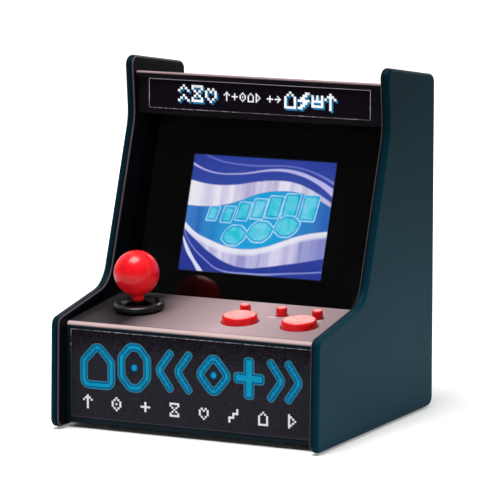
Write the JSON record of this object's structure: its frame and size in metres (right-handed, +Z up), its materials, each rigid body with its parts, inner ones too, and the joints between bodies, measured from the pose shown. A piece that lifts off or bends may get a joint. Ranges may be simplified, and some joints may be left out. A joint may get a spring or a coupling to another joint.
{
  "type": "bartop arcade cabinet",
  "caption": "Toy desktop arcade cabinet with two shaped side panels, a leaning colour screen, a tilted control deck with ball-top joystick and push buttons, and a rear battery door.",
  "frame": {"origin": "on the surface that the feet stand on, under the middle of the cabinet", "axes": "+Z up, -Y towards the player, +X to the player's right"},
  "size_m": [0.09, 0.0844, 0.1095],
  "materials": {
    "panel_plastic": "satin black with a cool cast",
    "shell_plastic": "fine satin black",
    "deck_plastic": "fine sparkle texture, dark grey",
    "red_plastic": "gloss",
    "black_gloss": "gloss",
    "clear_acrylic": "polished",
    "black_film": "printed black",
    "foam": "soft foam",
    "screen_glass": "lit picture",
    "white_tray": "white moulded",
    "steel": "zinc plated",
    "nickel": "nickel plated",
    "label_print": "printed and laminated",
    "silicone": "translucent grey silicone",
    "board_green": "solder mask",
    "chip_epoxy": "moulded epoxy",
    "connector_white": "nylon",
    "flat_cable": "flat flexible cable",
    "flex_amber": "polyimide",
    "paper_cone": "pressed paper",
    "ferrite": "sintered",
    "wire_red": "insulation",
    "cell_can": "printed wrapper, no mark",
    "foot_rubber": "matt"
  },
  "bodies": {
    "cabinet": {"side_panel_left": "panel_plastic", "side_panel_right": "panel_plastic", "front_shell": "shell_plastic", "control_deck": "deck_plastic", "rear_cover": "shell_plastic", "base_plate": "shell_plastic", "rubber_feet": "foot_rubber", "screen_lens": "clear_acrylic", "lens_border": "black_film", "lcd_gasket": "foam", "lcd_glass": "screen_glass", "lcd_backlight": "white_tray", "lcd_bracket": "steel", "lcd_screws": "steel", "marquee_label": "label_print", "front_label": "label_print", "joystick_ring": "black_gloss", "joystick_housing": "shell_plastic", "rubber_keypad": "silicone", "control_board": "board_green", "control_screws": "steel", "main_board": "board_green", "main_board_screws": "steel", "board_chips": "chip_epoxy", "board_connectors": "connector_white", "control_ribbon": "flat_cable", "lcd_flex": "flex_amber", "speaker_frame": "steel", "speaker_cone": "paper_cone", "speaker_magnet": "ferrite", "speaker_screws": "steel", "speaker_wires": "wire_red", "battery_wires": "wire_red", "battery_cells": "cell_can", "battery_springs": "nickel", "battery_contacts": "nickel", "rear_screws": "steel", "side_screws": "steel", "base_screws": "steel"},
    "gimbal": {"gimbal_ring": "white_tray", "gimbal_pins": "steel"},
    "stick": {"joystick_ball": "red_plastic", "joystick_shaft": "black_gloss", "joystick_actuator": "white_tray", "stick_pin": "steel"},
    "large_button_a": {"button_a": "red_plastic"},
    "large_button_b": {"button_b": "red_plastic"},
    "small_button_power": {"power_button": "red_plastic"},
    "small_button_menu": {"menu_button": "red_plastic"},
    "small_button_start": {"start_button": "red_plastic"},
    "door": {"battery_door": "shell_plastic", "door_screw": "steel"}
  },
  "joints": [
    {"name": "stick_left_right", "type": "hinge", "parent": "cabinet", "child": "gimbal", "pos_m": [-0.0267, -0.01823, 0.02991], "axis": [0, 0.9943, 0.107], "range_deg": [-10, 10], "stiffness_Nm_per_rad": 0.03, "deforming": ["rubber_keypad"]},
    {"name": "stick_fore_aft", "type": "hinge", "parent": "gimbal", "child": "stick", "pos_m": [-0.0267, -0.01823, 0.02991], "axis": [1, 0, 0], "range_deg": [-10, 10], "stiffness_Nm_per_rad": 0.03, "deforming": ["rubber_keypad"]},
    {"name": "button_a_press", "type": "slide", "parent": "cabinet", "child": "large_button_a", "axis": [0, 0.107, -0.9943], "range_m": [0, 0.0012], "stiffness_N_per_m": 300, "deforming": ["rubber_keypad"]},
    {"name": "button_b_press", "type": "slide", "parent": "cabinet", "child": "large_button_b", "axis": [0, 0.107, -0.9943], "range_m": [0, 0.0012], "stiffness_N_per_m": 300, "deforming": ["rubber_keypad"]},
    {"name": "power_press", "type": "slide", "parent": "cabinet", "child": "small_button_power", "axis": [0, 0.107, -0.9943], "range_m": [0, 0.0008], "stiffness_N_per_m": 300, "deforming": ["rubber_keypad"]},
    {"name": "menu_press", "type": "slide", "parent": "cabinet", "child": "small_button_menu", "axis": [0, 0.107, -0.9943], "range_m": [0, 0.0008], "stiffness_N_per_m": 300, "deforming": ["rubber_keypad"]},
    {"name": "start_press", "type": "slide", "parent": "cabinet", "child": "small_button_start", "axis": [0, 0.107, -0.9943], "range_m": [0, 0.0008], "stiffness_N_per_m": 300, "deforming": ["rubber_keypad"]},
    {"name": "battery_door_hinge", "type": "hinge", "parent": "cabinet", "child": "door", "pos_m": [0, 0.04125, 0.0077], "axis": [-1, 0, 0], "range_deg": [0, 60]}
  ]
}
